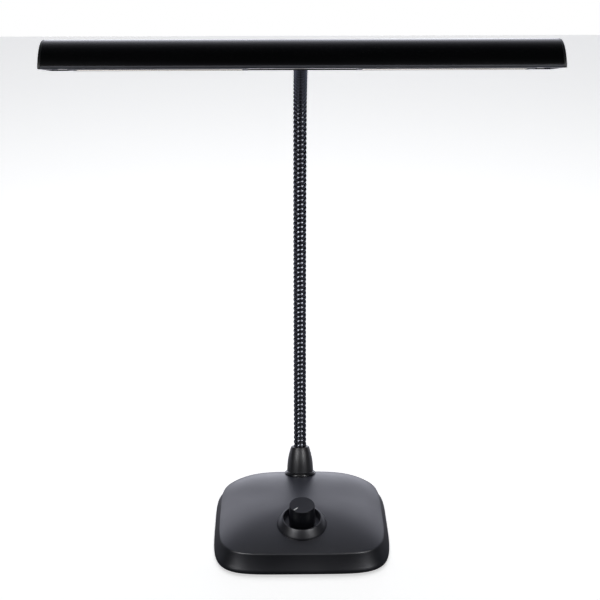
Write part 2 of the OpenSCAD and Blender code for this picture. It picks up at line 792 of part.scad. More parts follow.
// The part of the inside above the height low.
module arch_inside(inset, low) {
    intersection() {
        arch(inset);
        translate([0, low]) square([shade_d, arch_rise + lip_h]);
    }
}

module shade_profile() {
    above = slot_low + slot_h + ledge_t;
    color(black) at_shade() difference() {
        along(profile_len) difference() {
            arch(0);
            translate([shade_wall + ledge, -1]) square([shade_d - 2 * (shade_wall + ledge), above + 2]);
            translate([shade_wall, slot_low]) square([shade_d - 2 * shade_wall, slot_h]);
            arch_inside(shade_wall, above);
        }
        translate([0, axis_h, -setback]) cylinder(d = spigot_dia + 2 * fit, h = setback + 10);
    }
}

// An end cap: a plate of the shade's outline with a rib that plugs inside it.
plug = 5;
plug_wall = 1.4;
module end_cap(side) {
    above = slot_low + slot_h + ledge_t + fit;
    color(black) at_shade() {
        along(cap_t, side * (shade_len - cap_t) / 2) arch(0);
        along(plug + eps, side * (shade_len / 2 - cap_t - plug / 2 + eps / 2)) difference() {
            arch_inside(shade_wall + fit, above);
            arch_inside(shade_wall + fit + plug_wall, above + plug_wall);
        }
    }
}
module left_end_cap() { end_cap(-1); }
module right_end_cap() { end_cap(1); }

// The white plate in the shade's slot, with a window and four posts a side.
window_off = shade_len / 2 - window_end - window_len / 2;
led_post_dia = 5;
led_screw_dia = 1.6;
post_x = window_len / 2 + 3.5;
post_z = 4;
board_len = window_len + 15;
module reflector_plate() {
    color(opal) at_shade() difference() {
        union() {
            along(profile_len - 2 * plug) translate([shade_wall + fit, reflector_low])
                square([shade_d - 2 * (shade_wall + fit), reflector_t]);
            for (s = [-1, 1], x = [-1, 1], z = [-1, 1])
                translate([s * window_off + x * post_x, reflector_top - eps, arch_half + z * post_z])
                    rotate([-90, 0, 0]) cylinder(d = led_post_dia, h = board_h - reflector_top + eps);
        }
        for (s = [-1, 1]) translate([s * window_off, 0, arch_half])
            cube([window_len, 3 * reflector_low + 3, window_w], center = true);
        for (s = [-1, 1], x = [-1, 1], z = [-1, 1])
            translate([s * window_off + x * post_x, board_h - 5, arch_half + z * post_z])
                rotate([-90, 0, 0]) cylinder(d = led_screw_dia, h = 6);
    }
}

// A diode board, screwed down on the four posts.
board_t = 1.6;
module led_board(side) {
    color(opal) at_shade() difference() {
        translate([side * window_off - board_len / 2, board_h, arch_half - board_w / 2])
            cube([board_len, board_t, board_w]);
        for (x = [-1, 1], z = [-1, 1])
            translate([side * window_off + x * post_x, board_h - 1, arch_half + z * post_z])
                rotate([-90, 0, 0]) cylinder(d = led_screw_dia + 0.8, h = board_t + 2);
    }
}
module left_led_board() { led_board(-1); }
module right_led_board() { led_board(1); }

// The diodes under a board, evenly spaced over the window.
led_h = 0.9;
module leds(side) {
    pitch = (window_len - 10) / led_count;
    color("#f2e6a0") at_shade() for (i = [0:led_count - 1])
        translate([side * window_off + (i - (led_count - 1) / 2) * pitch - led_side / 2,
            board_h - led_h, arch_half - led_side / 2]) cube([led_side, led_h, led_side]);
}
module left_leds() { leds(-1); }
module right_leds() { leds(1); }

module led_board_screws() {
    color(steel) at_shade() for (s = [-1, 1], x = [-1, 1], z = [-1, 1])
        translate([s * window_off + x * post_x, board_h + board_t + eps, arch_half + z * post_z])
            rotate([-90, 0, 0]) difference() {
                union() {
                    cylinder(d = led_screw_dia + 2.2, h = 1.2);
                    translate([0, 0, -4.5]) cylinder(d = led_screw_dia - 2 * run_fit, h = 4.6);
                }
                translate([-1.5, -0.3, 0.7]) cube([3, 0.6, 1]);
            }
}

// A rim that plugs into the window from below and holds the diffuser.
rim_flange = 1.6;
module window_rim(side) {
    low = reflector_low - rim_h;
    out_l = window_len + 2 * rim_flange;
    out_w = window_w + 2 * rim_flange;
    color(black) at_shade() translate([side * window_off, 0, arch_half]) difference() {
        union() {
            translate([-out_l / 2, low, -out_w / 2]) cube([out_l, rim_h - 0.02, out_w]);
            translate([-window_len / 2 + fit, low, -window_w / 2 + fit])
                cube([window_len - 2 * fit, rim_h + reflector_t, window_w - 2 * fit]);
        }
        translate([-window_len / 2 + rim_w, low - 1, -window_w / 2 + rim_w])
            cube([window_len - 2 * rim_w, 8, window_w - 2 * rim_w]);
    }
}
module left_window_rim() { window_rim(-1); }
module right_window_rim() { window_rim(1); }

// An opal pane, seated in the rim, with a flange that rests on its inside.
module diffuser(side) {
    low = reflector_low - rim_h + 0.3;
    seat = reflector_low + reflector_t + 0.02;
    pane_l = window_len - 2 * rim_w - 2 * fit;
    pane_w = window_w - 2 * rim_w - 2 * fit;
    color(opal) at_shade() translate([side * window_off, 0, arch_half]) {
        translate([-pane_l / 2, low, -pane_w / 2]) cube([pane_l, seat - low + eps, pane_w]);
        translate([-pane_l / 2, seat, -pane_w / 2 - rim_w]) cube([pane_l, 1.2, pane_w + 2 * rim_w]);
    }
}
module left_diffuser() { diffuser(-1); }
module right_diffuser() { diffuser(1); }

// ---- Joint of neck and shade --------------------------------------------

nut3_h = 3.5;
nut3_r = spigot_dia / 2 + 2.5;
spigot_low = hidden_len(head_ribs) + 0.3;

// Depth in the shade where the nut just fits under the arch.
saddle_front = arch_half - sqrt(pow(arch_r - shade_wall, 2) - pow(axis_h + nut3_r + 0.3 - arch_z, 2));
spigot_len = setback + saddle_front + nut3_h + 1;

// A short sleeve over the neck's end, cut to the arch of the shade.
module head_sleeve() {
    color(satin) difference() {
        translate(neck_end) rotate([end_lean, 0, 0]) difference() {
            translate([0, 0, -1]) cylinder(d = sleeve_dia, h = setback + arch_half);
            translate([0, 0, -2]) cylinder(d = neck_dia + 2 * fit, h = hidden_len(head_ribs) + 2.2);
            cylinder(d = spigot_dia + 2 * run_fit, h = setback + arch_half);
        }
        at_shade() along(shade_len) union() {
            arch(-fit / 3);
            translate([arch_half, -20]) square([40, 60]);
        }
    }
}

// The hollow threaded tube that runs from the sleeve into the shade.
module head_spigot() {
    color(steel) translate(neck_end) rotate([end_lean, 0, 0]) difference() {
        translate([0, 0, spigot_low]) cylinder(d = spigot_dia, h = spigot_len - spigot_low);
        translate([0, 0, spigot_low - 1]) cylinder(d = spigot_dia - 2.4, h = spigot_len);
    }
}

// A block that fits the inside of the arch and gives the nut a flat seat.
saddle_w = 18;
module spigot_saddle() {
    above = slot_low + slot_h + ledge_t + fit;
    color(steel) at_shade() difference() {
        along(saddle_w) intersection() {
            arch_inside(shade_wall, above);
            square([saddle_front, lip_h + arch_rise]);
        }
        translate([0, axis_h, -1]) cylinder(d = spigot_dia + 2 * fit, h = 30);
    }
}

module spigot_nut() {
    color(steel) at_shade() translate([0, axis_h, saddle_front]) difference() {
        cylinder(r = nut3_r, h = nut3_h, $fn = 6);
        translate([0, 0, -1]) cylinder(d = spigot_dia + 2 * run_fit, h = nut3_h + 2);
    }
}

// A lead from the spigot to each diode board.
module head_leads() {
    mouth = spigot_len - setback;
    near = window_off - board_len / 2;
    color("#30343a") at_shade() for (s = [-1, 1])
        wire([[s, axis_h, mouth - 3], [s, axis_h, mouth + 12],
            [s * (near - 14), board_h + 5, arch_half + 4],
            [s * (near + 3), board_h + board_t + 0.9, arch_half + 1]]);
}

// ---- Assembly ----------------------------------------------------------

base_cover();
base_plate();
base_weight();
rubber_feet();
plate_screws();
knob_bezel();
dimmer_control();
control_washer();
control_nut();
control_shaft();
dimmer_knob();
knob_pointer();
driver_board();
board_parts();
driver_board_screws();
power_inlet();
base_leads();
neck_ring();
neck_cone();
neck_stem();
stem_washer();
stem_nut();
for (k = [1:section_count]) neck_section(k);
head_sleeve();
head_spigot();
spigot_saddle();
spigot_nut();
shade_profile();
left_end_cap();
right_end_cap();
reflector_plate();
left_led_board();
right_led_board();
left_leds();
right_leds();
led_board_screws();
left_window_rim();
right_window_rim();
left_diffuser();
right_diffuser();
head_leads();
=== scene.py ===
"""Piano lamp: a domed, weighted base with a rotary dimmer, a wound gooseneck and a
long arched shade with two lit windows. Sizes are in millimetres and become metres
as a mesh is made. +Z is up, the knob faces -Y and the shade runs along X."""

import json
import math

import bpy
import numpy as np
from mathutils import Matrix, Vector

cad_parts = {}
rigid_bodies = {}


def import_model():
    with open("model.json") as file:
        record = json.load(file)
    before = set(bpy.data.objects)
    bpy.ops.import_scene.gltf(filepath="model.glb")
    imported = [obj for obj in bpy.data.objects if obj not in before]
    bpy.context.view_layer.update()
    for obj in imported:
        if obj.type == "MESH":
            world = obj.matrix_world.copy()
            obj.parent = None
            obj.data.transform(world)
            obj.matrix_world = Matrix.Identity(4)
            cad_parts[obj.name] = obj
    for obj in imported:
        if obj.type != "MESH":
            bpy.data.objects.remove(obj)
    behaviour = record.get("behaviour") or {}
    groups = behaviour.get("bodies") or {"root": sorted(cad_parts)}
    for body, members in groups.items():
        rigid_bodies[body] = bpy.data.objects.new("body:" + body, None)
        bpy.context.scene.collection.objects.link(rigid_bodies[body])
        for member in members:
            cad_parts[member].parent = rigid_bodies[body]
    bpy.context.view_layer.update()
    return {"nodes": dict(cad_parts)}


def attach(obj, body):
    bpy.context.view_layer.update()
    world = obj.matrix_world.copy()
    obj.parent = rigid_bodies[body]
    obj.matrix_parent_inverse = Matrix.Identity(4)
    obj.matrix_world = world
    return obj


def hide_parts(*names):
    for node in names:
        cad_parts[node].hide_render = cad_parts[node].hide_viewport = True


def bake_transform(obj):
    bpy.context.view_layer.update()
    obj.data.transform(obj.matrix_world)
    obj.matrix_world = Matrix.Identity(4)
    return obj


for leftover in list(bpy.data.objects):
    bpy.data.objects.remove(leftover)
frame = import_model()

# ---- Base cover -------------------------------------------------------------
# The cover is one moulding in black ABS with a satin, spark-eroded skin. A flared
# wall rises to a crease, and a dome falls from the crown to it; it is a shell, open
# below, with a flat boss for the neck and a hole in the rear wall for the inlet.

# Half the width and depth at the crease, the wall's flare below it, the heights of the
# crease and of the crown, the outline's squareness, and the powers of the dome's fall.
half_w, half_d = 65.5, 68.5
flare, wall_bulge = 4.5, 0.35
crease_front, crease_rear, crown = 17.0, 12.0, 28.0
front_square, rear_square = 5.2, 3.8
front_crown, rear_crown = 2.4, 4.8
foot_gap, foot_round, foot_edge, cover_wall = 1.5, 2.0, 0.7, 2.4
neck_y = 47.0
boss_r, boss_drop, boss_deep, boss_edge = 13.4, 1.1, 7.0, 0.35
jack_z, jack_hole, jack_reach = 6.9, 8.6, 12.0
mm = 0.001


def linear(code):
    """An sRGB hex value as linear light, with an alpha of 1: a straight line for the
    darkest values and a power of 2.4 above them."""
    v = np.array([int(code[i:i + 2], 16) for i in (1, 3, 5)]) / 255
    return (*np.where(v <= 0.04045, v / 12.92, ((v + 0.055) / 1.055) ** 2.4), 1.0)


def add(tree, kind, settings=None, **links):
    """One node: its settings by attribute or socket name, and its links by socket."""
    made = tree.nodes.new(kind)
    for key, value in (settings or {}).items():
        if key in made.inputs:
            made.inputs[key].default_value = value
        else:
            setattr(made, key, value)
    for key, source in links.items():
        tree.links.new(source, made.inputs[key.replace("_", " ")])
    return made


def finish(name, colour, roughness, **more):
    """A new material, its node tree and its Principled shader."""
    made = bpy.data.materials.new(name)
    made.use_nodes = True
    shader = made.node_tree.nodes["Principled BSDF"]
    shader.inputs["Base Color"].default_value = linear(colour)
    shader.inputs["Roughness"].default_value = roughness
    for key, value in more.items():
        shader.inputs[key.replace("_", " ")].default_value = value
    return made, made.node_tree, shader


def grained(name, colour, lighter, roughness, grain_mm, depth_mm, stretch=(1, 1, 1), **more):
    """A surface with a fine grain. Noise of the grain's size mixes the two colours and
    raises the bump by its depth, and broad clouds, as from handling, vary the
    roughness. Most real grains here are 0.05 to 0.3 mm, too fine to show, so grain_mm
    is drawn as coarse as it needs to be to show."""
    cloud_mm, duller, glossier = 38.0, 0.05, 0.03
    made, tree, shader = finish(name, colour, roughness, **more)
    place = add(tree, "ShaderNodeTexCoord")
    turn = add(tree, "ShaderNodeMapping", {"Scale": stretch}, Vector=place.outputs["Object"])
    grain = add(tree, "ShaderNodeTexNoise", {"Scale": 1000 / grain_mm, "Detail": 2.0},
                Vector=turn.outputs[0])
    cloud = add(tree, "ShaderNodeTexNoise", {"Scale": 1000 / cloud_mm, "Detail": 3.0},
                Vector=turn.outputs[0])
    # Of a mix of colours, socket 0 is the share, 6 and 7 are the colours, and 2 is
    # the result.
    tone = add(tree, "ShaderNodeMix", {"data_type": "RGBA"})
    tone.inputs[6].default_value = linear(colour)
    tone.inputs[7].default_value = linear(lighter)
    tree.links.new(grain.outputs["Fac"], tone.inputs[0])
    tree.links.new(tone.outputs[2], shader.inputs["Base Color"])
    sheen = add(tree, "ShaderNodeMapRange",
                {"From Min": 0.3, "From Max": 0.7,
                 "To Min": roughness - glossier, "To Max": roughness + duller},
                Value=cloud.outputs["Fac"])
    tree.links.new(sheen.outputs[0], shader.inputs["Roughness"])
    bump = add(tree, "ShaderNodeBump", {"Strength": 0.6, "Distance": depth_mm / 1000},
               Height=grain.outputs["Fac"])
    tree.links.new(bump.outputs[0], shader.inputs["Normal"])
    return made


def solid(name, points, quads, fans=()):
    """A mesh from points in mm, four-cornered faces and three-cornered ones. The
    signed volume, a sixth of the sum of a . (b x c), turns the faces outwards."""
    quads = np.asarray(quads, np.int32).reshape(-1, 4)
    fans = np.asarray(fans, np.int32).reshape(-1, 3)
    tris = np.vstack([quads[:, [0, 1, 2]], quads[:, [0, 2, 3]], fans])
    a, b, c = (points[tris[:, i]] for i in range(3))
    if np.einsum("ij,ij->", a, np.cross(b, c)) < 0:
        quads, fans = quads[:, ::-1], fans[:, ::-1]
    loops = np.concatenate([quads.ravel(), fans.ravel()]).astype(np.int32)
    sizes = np.concatenate([np.full(len(quads), 4), np.full(len(fans), 3)])
    mesh = bpy.data.meshes.new(name)
    mesh.vertices.add(len(points))
    mesh.vertices.foreach_set("co", (np.asarray(points) * mm).astype(np.float32).ravel())
    mesh.loops.add(len(loops))
    mesh.loops.foreach_set("vertex_index", loops)
    mesh.polygons.add(len(sizes))
    mesh.polygons.foreach_set("loop_start", (np.cumsum(sizes) - sizes).astype(np.int32))
    mesh.polygons.foreach_set("use_smooth", np.ones(len(sizes), bool))
    mesh.update(calc_edges=True)
    mesh.validate()
    made = bpy.data.objects.new(name, mesh)
    bpy.context.scene.collection.objects.link(made)
    return made


def skin(name, grid, low=None, high=None):
    """A closed skin over a grid of rings. Each ring joins the next, and a fan closes
    each end at its pole; with no poles the last ring joins the first."""
    rows, cols = grid.shape[:2]
    index = np.arange(rows * cols).reshape(rows, cols)
    nxt = np.roll(index, -1, 1)
    stack = np.arange(rows if low is None else rows - 1)
    above = (stack + 1) % rows
    quads = np.stack([index[stack], nxt[stack], nxt[above], index[above]], -1)
    points, fans = grid.reshape(-1, 3), []
    if low is not None:
        points = np.vstack([points, low, high])
        for ring, pole, sign in ((0, rows * cols, 1), (-1, rows * cols + 1, -1)):
            edge = np.stack([index[ring], nxt[ring], np.full(cols, pole)], -1)
            fans.append(edge[:, ::-sign])
        fans = np.vstack(fans)
    return solid(name, points, quads, fans)


def crisp(piece, degrees=32):
    """Edges that turn more than this stay sharp."""
    piece.data.set_sharp_from_angle(angle=math.radians(degrees))
    return piece


def wear(piece, material, body, slot, *nodes):
    """Gives a piece its material and its body, and hides the nodes it stands for; slot is not
    used.
    """
    piece.data.materials.clear()
    piece.data.materials.append(material)
    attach(piece, body)
    if nodes:
        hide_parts(*nodes)
    return piece


def plan(t, a, b):
    """The rounded square |x/a|^n + |y/b|^n = 1 in direction t, where n goes over
    from the rear's squareness to the front's."""
    n = rear_square + (front_square - rear_square) * (1 - np.sin(t)) / 2
    power = lambda v: np.sign(v) * np.abs(v) ** (2 / n)
    return a * power(np.cos(t)), b * power(np.sin(t))


def crease_z(y):
    """The crease's height, which falls as a straight line from front to rear."""
    return crease_front + (crease_rear - crease_front) * (y + half_d) / (2 * half_d)


def dome_z(t, q, y_edge):
    """The dome's height at the share q of the way out: above the crease, what the
    crown rises, times 1 less a power of q. The power goes over from rear to front."""
    power = rear_crown + (front_crown - rear_crown) * (1 - np.sin(t)) / 2
    z = crease_z(y_edge)
    return z + (crown - z) * (1 - q ** power)


def wall(t, s, off):
    """A ring of the wall at the share s of its height, pulled in by off. The outline
    grows downwards by the flare times (1 - s)(1 - bulge s), a slightly hollow slope."""
    out = flare * (1 - s) * (1 - wall_bulge * s) - off
    x, y = plan(t, half_w + out, half_d + out)
    top = crease_z(plan(t, half_w, half_d)[1])
    low = foot_gap + foot_round
    return np.stack([x, y, low + (top - low) * s], -1)


def dome(t, q, off):
    """A ring of the dome: the crease's outline times the share q, at the dome's
    height, pulled in and down by off."""
    x, y = plan(t, half_w - off, half_d - off)
    edge = plan(t, half_w, half_d)[1]
    return np.stack([x * q, y * q, dome_z(t, q, edge) - off], -1)


def bend(a, b, c, steps):
    """Rings of the rounded corner between a and c, drawn towards the corner b: the
    quadratic (1-u)^2 a + 2u(1-u) b + u^2 c."""
    u = np.linspace(0, 1, steps)[:, None, None]
    return (1 - u) ** 2 * a + 2 * u * (1 - u) * b + u * u * c


# Directions that space the outline's points evenly along its length, found by running
# along a much finer outline.
cover_sides = 288
fine = np.linspace(0, 2 * np.pi, 25 * cover_sides + 1)
outline = np.stack(plan(fine, half_w, half_d), -1)
run = np.concatenate([[0], np.cumsum(np.linalg.norm(np.diff(outline, axis=0), axis=1))])
around = np.interp(np.linspace(0, run[-1], cover_sides + 1)[:-1], run, fine)


def open_edge(off):
    """The ring at the cover's open edge: the wall's lowest one, pulled in by off."""
    ring = wall(around, 0, off)
    ring[:, 2] = foot_gap
    return ring


# The shell in rings. Its foot is rounded up to one share of the wall, and its crease
# from a share of the wall to one of the dome, whose rings stand closer there.
foot_round_to, crease_from, crease_to = 0.04, 0.94, 0.99
shares = np.concatenate([np.linspace(0.975, 0.6, 26), np.linspace(0.56, 0.04, 16)])
outside = np.concatenate([
    bend(open_edge(foot_edge), open_edge(0), wall(around, foot_round_to, 0), 7),
    np.stack([wall(around, s, 0) for s in np.linspace(0.12, 0.88, 9)]),
    bend(wall(around, crease_from, 0), dome(around, 1.0, 0), dome(around, crease_to, 0), 7),
    np.stack([dome(around, q, 0) for q in shares])])
inside = np.stack([dome(around, q, cover_wall) for q in np.linspace(0.06, 0.96, 12)]
                  + [wall(around, s, cover_wall) for s in (0.8, 0.4, 0.1)]
                  + [open_edge(cover_wall)])
cover = skin("cover_shell", np.concatenate([inside, outside]),
             [0, 0, crown - cover_wall], [0, 0, crown])


def cut(piece, tool):
    """Takes the tool's volume out of a piece and leaves a plain mesh."""
    step = piece.modifiers.new("cut", "BOOLEAN")
    step.object, step.operation, step.solver = tool, "DIFFERENCE", "EXACT"
    bpy.context.view_layer.update()
    seen = piece.evaluated_get(bpy.context.evaluated_depsgraph_get())
    piece.data = bpy.data.meshes.new_from_object(seen)
    piece.modifiers.clear()
    bpy.data.objects.remove(tool)
    return piece


def turned(name, profile, lean=0.0, foot=(0, 0, 0), steps=96, closed=True):
    """A profile of [radius, height] pairs turned about its axis, leant about X by
    lean degrees and stood at foot. Its first and last points lie on the axis and are
    poles, or, where closed is False, its last ring joins its first."""
    profile = np.asarray(profile, float)
    angle = np.arange(steps) * 2 * np.pi / steps
    ring = np.stack([np.cos(angle), np.sin(angle), np.zeros(steps)], -1)
    up = np.array([0, 0, 1.0])
    grid = profile[:, None, :1] * ring + profile[:, None, 1:] * up
    c, s = math.cos(math.radians(lean)), math.sin(math.radians(lean))
    turn = np.array([[1, 0, 0], [0, c, -s], [0, s, c]])
    place = lambda p: p @ turn.T + np.asarray(foot, float)
    if not closed:
        return skin(name, place(grid))
    return skin(name, place(grid[1:-1]), place(up * profile[0, 1]), place(up * profile[-1, 1]))


def rounded(corners, radius, steps=5):
    """A polyline whose corners, all but the ends, become short quadratic curves, each
    from its radius before the corner to as much after it, or to 0.45 of a side."""
    corners = np.asarray(corners, float)
    radius = np.broadcast_to(radius, len(corners))
    u = np.linspace(0, 1, steps)[:, None]
    parts = [corners[:1]]
    for before, here, after, r in zip(corners, corners[1:], corners[2:], radius[1:]):
        if r <= 0:
            parts.append(here[None])
            continue
        back, on = before - here, after - here
        a = here + back * min(0.45, r / np.linalg.norm(back))
        b = here + on * min(0.45, r / np.linalg.norm(on))
        parts.append((1 - u) ** 2 * a + 2 * u * (1 - u) * here + u * u * b)
    return np.vstack(parts + [corners[-1:]])


# The inlet's hole: a round tool laid along Y, through the rear wall.
hole = turned("inlet_tool", [[0, 0], [jack_hole / 2, 0], [jack_hole / 2, 2 * jack_reach],
                             [0, 2 * jack_reach]], -90, (0, half_d - jack_reach, jack_z), 64)
cut(cover, hole)


def top_z(y):
    """The dome's height on its centre line, where the share is |y| / half_d."""
    t = -math.pi / 2 if y < 0 else math.pi / 2
    return float(dome_z(t, abs(y) / half_d, math.copysign(half_d, y)))


def top_slope(y):
    """The angle of the dome's fall on its centre line, in degrees: the arctangent of
    the derivative of the crown less a power p, (crown - z) p q^(p-1) / half_d."""
    power = front_crown if y < 0 else rear_crown
    z = crease_z(math.copysign(half_d, y))
    fall = (crown - z) * power * (abs(y) / half_d) ** (power - 1) / half_d
    return math.degrees(math.atan(fall))


neck_lean, neck_foot = -top_slope(neck_y), (0, neck_y, top_z(neck_y))

# ABS, moulded against a spark-eroded tool: black with a soft, cool sheen, and an even
# grain of about 0.1 mm that is drawn at 0.7 mm so that it shows.
satin_abs = grained("spark_eroded_black_abs", "#2c2e37", "#33353f", 0.37, 0.7, 0.02, IOR=1.6,
                    Specular_IOR_Level=1.0)
wear(crisp(cover), satin_abs, "base", "cover_plastic", "base_cover")
boss_line = rounded([[0, -boss_deep], [boss_r, -boss_deep], [boss_r - 0.2, -boss_drop],
                     [0, -boss_drop]], boss_edge)
boss = turned("neck_boss", boss_line, neck_lean, neck_foot)
wear(crisp(boss), satin_abs, "base", "cover_plastic")

# ---- Bottom plate, feet, screws and weight ----------------------------------
# A flat moulded plate closes the base. Four screws hold it to posts in the cover,
# four rubber feet sit in its recesses, and a steel slab lies on it as ballast.

def dress(material, *names):
    """A CAD node keeps its shape and takes a finish."""
    for name in names:
        mesh = frame["nodes"][name].data
        mesh.materials.clear()
        mesh.materials.append(material)


# ABS again, from a plainer tool: darker and duller than the cover.
plate_abs = grained("moulded_black_abs", "#101113", "#17181a", 0.5, 0.6, 0.02, IOR=1.53)
dress(plate_abs, "base_plate")
# Nitrile rubber: dull, with a dusty bloom a little lighter than the body.
foot_rubber = grained("moulded_nitrile_rubber", "#19191a", "#2a2a2b", 0.78, 0.9, 0.05, IOR=1.52)
dress(foot_rubber, "rubber_feet")
# Hot-rolled steel plate under oil: blue-black scale with a broad, uneven sheen.
rolled_steel = grained("oiled_rolled_steel", "#34373c", "#4a4c50", 0.45, 6.0, 0.03, Metallic=0.9)
dress(rolled_steel, "base_weight")
# Steel, bright zinc plated and passivated: pale, slightly blue, softly bright.
zinc = grained("zinc_plated_steel", "#b7bcc2", "#cdd0d3", 0.3, 1.5, 0.006, Metallic=1.0)
dress(zinc, "plate_screws", "driver_board_screws", "neck_stem", "stem_washer", "stem_nut",
      "head_spigot", "spigot_saddle", "spigot_nut", "led_board_screws")

# ---- Power inlet ------------------------------------------------------------
# A round barrel socket of moulded nylon sits in the hole in the rear wall, with a pin
# in its middle. Its block lies on the bottom plate. Nothing is plugged into it.

# Nylon, moulded: near black, a little waxy.
nylon = grained("moulded_black_nylon", "#0f1011", "#161718", 0.42, 0.8, 0.01, IOR=1.53)
dress(nylon, "power_inlet")

# ---- Driver board, its parts and the leads ----------------------------------
# A glass-epoxy board under a green solder mask stands on two spacers over the weight;
# its parts are black mouldings, and PVC leads join it to the dimmer, inlet and neck.

# Solder mask: a glossy green lacquer, slightly uneven over the glass cloth.
solder_mask = grained("green_solder_mask", "#1d5b38", "#256a44", 0.28, 2.0, 0.01, IOR=1.5)
dress(solder_mask, "driver_board")
# Filled epoxy, moulded: dull black with a fine speckle.
package = grained("moulded_epoxy_package", "#151516", "#1f1f20", 0.55, 0.5, 0.01, IOR=1.55)
dress(package, "board_parts")
# PVC, extruded over the wires: dark grey, smooth, half dull.
pvc = grained("dark_pvc_sleeve", "#26282c", "#303338", 0.45, 1.2, 0.01, IOR=1.53)
dress(pvc, "base_leads", "head_leads")

# ---- Dimmer control ---------------------------------------------------------
# A rotary potentiometer in a plated can. Its threaded bushing comes up through the
# cover and the bezel, where a washer and a nut clamp all three; the shaft is brass.

dress(zinc, "dimmer_control", "control_washer", "control_nut")
# Brass, turned: a warm yellow that the tool's fine marks soften.
brass = grained("turned_brass", "#b08d4a", "#c6a766", 0.25, 0.5, 0.004, Metallic=1.0)
dress(brass, "control_shaft")

# ---- Bezel round the knob ---------------------------------------------------
# A moulded ring with a conical outside and a flat-floored well that the knob turns in.
# Its narrow rim catches a thin bright arc. The dimmer's nut clamps it to the cover.

knob_y = -37.0
knob_tilt, knob_foot = top_slope(knob_y), (0, knob_y, top_z(knob_y))
bezel_r, bezel_low, bezel_foot, bezel_h, land = 19.6, -1.2, 0.3, 6.2, 1.1
well_r, well_draft, well_floor, bushing_r = 14.6, 0.7, 0.3, 4.15
bezel_line = rounded([[bushing_r, bezel_low], [bezel_r, bezel_low], [bezel_r, bezel_foot],
                      [well_r + land, bezel_h], [well_r, bezel_h],
                      [well_r - well_draft, well_floor], [bushing_r, well_floor]],
                     [0, 0.2, 0.7, 0.55, 0.35, 0.9, 0])
bezel = turned("knob_well_ring", bezel_line, knob_tilt, knob_foot, 144, closed=False)
# ABS from a finer tool than the cover's: black, with a soft bright line on each edge.
bezel_abs = grained("polished_black_abs", "#2a2b33", "#32333c", 0.36, 0.8, 0.008, IOR=1.6,
                    Specular_IOR_Level=1.0)
wear(crisp(bezel, 40), bezel_abs, "base", "bezel_plastic", "knob_bezel")

# ---- Dimmer knob ------------------------------------------------------------
# A plain turned-looking moulding with barely tapered sides, a dished top and a small
# round on its rim, hollow below. It pushes onto the flat of the shaft.

knob_r, knob_low, knob_top = 10.1, 1.6, 18.6
knob_taper, knob_dish, hollow_r, hollow_top = 0.2, 0.16, 6.8, 5.2
knob_line = rounded([[0, hollow_top], [hollow_r, hollow_top], [hollow_r, knob_low],
                     [knob_r - 0.1, knob_low], [knob_r, knob_low + 1],
                     [knob_r - knob_taper, knob_top], [knob_r - 1.2, knob_top - 0.1],
                     [0, knob_top - knob_dish]],
                    [0, 0, 0.2, 0.3, 0.3, 0.5, 0.3, 0], 7)
knob = turned("dimmer_cap", knob_line, knob_tilt, knob_foot, 128)
# ABS from a fine-blasted tool: a silky black, a little glossier than the cover.
knob_abs = grained("satin_knob_abs", "#2b2c33", "#33343c", 0.3, 0.6, 0.012, IOR=1.53)
wear(crisp(knob, 40), knob_abs, "knob", "knob_plastic", "dimmer_knob")

# ---- Pointer line -----------------------------------------------------------
# A short white line, inlaid in the knob's top and level with it. It points to the
# front left, which is the end of the travel where the lamp is off or dimmest.

pointer_turn, pointer_out, pointer_sink = 225, 7.1, 0.33
pointer_size, pointer_edge = (4.6, 1.1, 0.5), 0.12


def slab(name, centre, size, edge, place):
    """A block with rounded edges: in each ring a rectangle, drawn in by the edge round,
    plus that round's circle, whose radius and height go through a half circle."""
    corners = 32
    a = np.arange(corners) * 2 * np.pi / corners + np.pi / corners
    half = np.asarray(size, float) / 2
    # Cosine and sine, made steep and clipped, stay at the rectangle's four corners.
    side = np.stack([np.clip(np.cos(a) * 9, -1, 1), np.clip(np.sin(a) * 9, -1, 1)], -1)
    soft = np.stack([np.cos(a), np.sin(a)], -1)
    rings = [(0, -1), (0.3, -0.95), (0.7, -0.71), (0.95, -0.3), (1, 0)]
    rings = rings + [(out, -up) for out, up in rings[-2::-1]]
    grid = []
    for out, up in rings:
        z = (half[2] - edge) * (1 if up > 0 else -1) + edge * up if up else 0
        flat = side * (half[:2] - edge) + soft * edge * out
        grid.append(np.column_stack([flat, np.full(corners, z)]))
    grid = np.stack(grid) + np.asarray(centre, float)
    low, high = np.array(centre, float), np.array(centre, float)
    low[2] -= half[2]
    high[2] += half[2]
    return skin(name, place(grid), place(low), place(high))


def on_knob(points):
    """From the knob's frame, with X along the pointer, to the lamp's: a turn about the
    knob's axis, then the knob's tilt about X, then its place on the dome."""
    a, t = math.radians(pointer_turn), math.radians(knob_tilt)
    spin = np.array([[math.cos(a), -math.sin(a), 0], [math.sin(a), math.cos(a), 0], [0, 0, 1]])
    tip = np.array([[1, 0, 0], [0, math.cos(t), -math.sin(t)], [0, math.sin(t), math.cos(t)]])
    return points @ (tip @ spin).T + np.array(knob_foot)


pointer = slab("pointer_inlay", (pointer_out, 0, knob_top - pointer_sink), pointer_size,
               pointer_edge, on_knob)
# Paint, filled in and levelled: a plain, half dull white.
white_ink = grained("white_inlaid_paint", "#e6e7e6", "#f0f1f0", 0.4, 0.5, 0.004, IOR=1.5)
wear(pointer, white_ink, "knob", "pointer_white", "knob_pointer")

# ---- Neck ring and cone -----------------------------------------------------
# A bevelled ring sits on the cover's boss, and a conical moulded sleeve stands on it.
# The threaded tube inside ties sleeve, ring and cover together with a nut below.

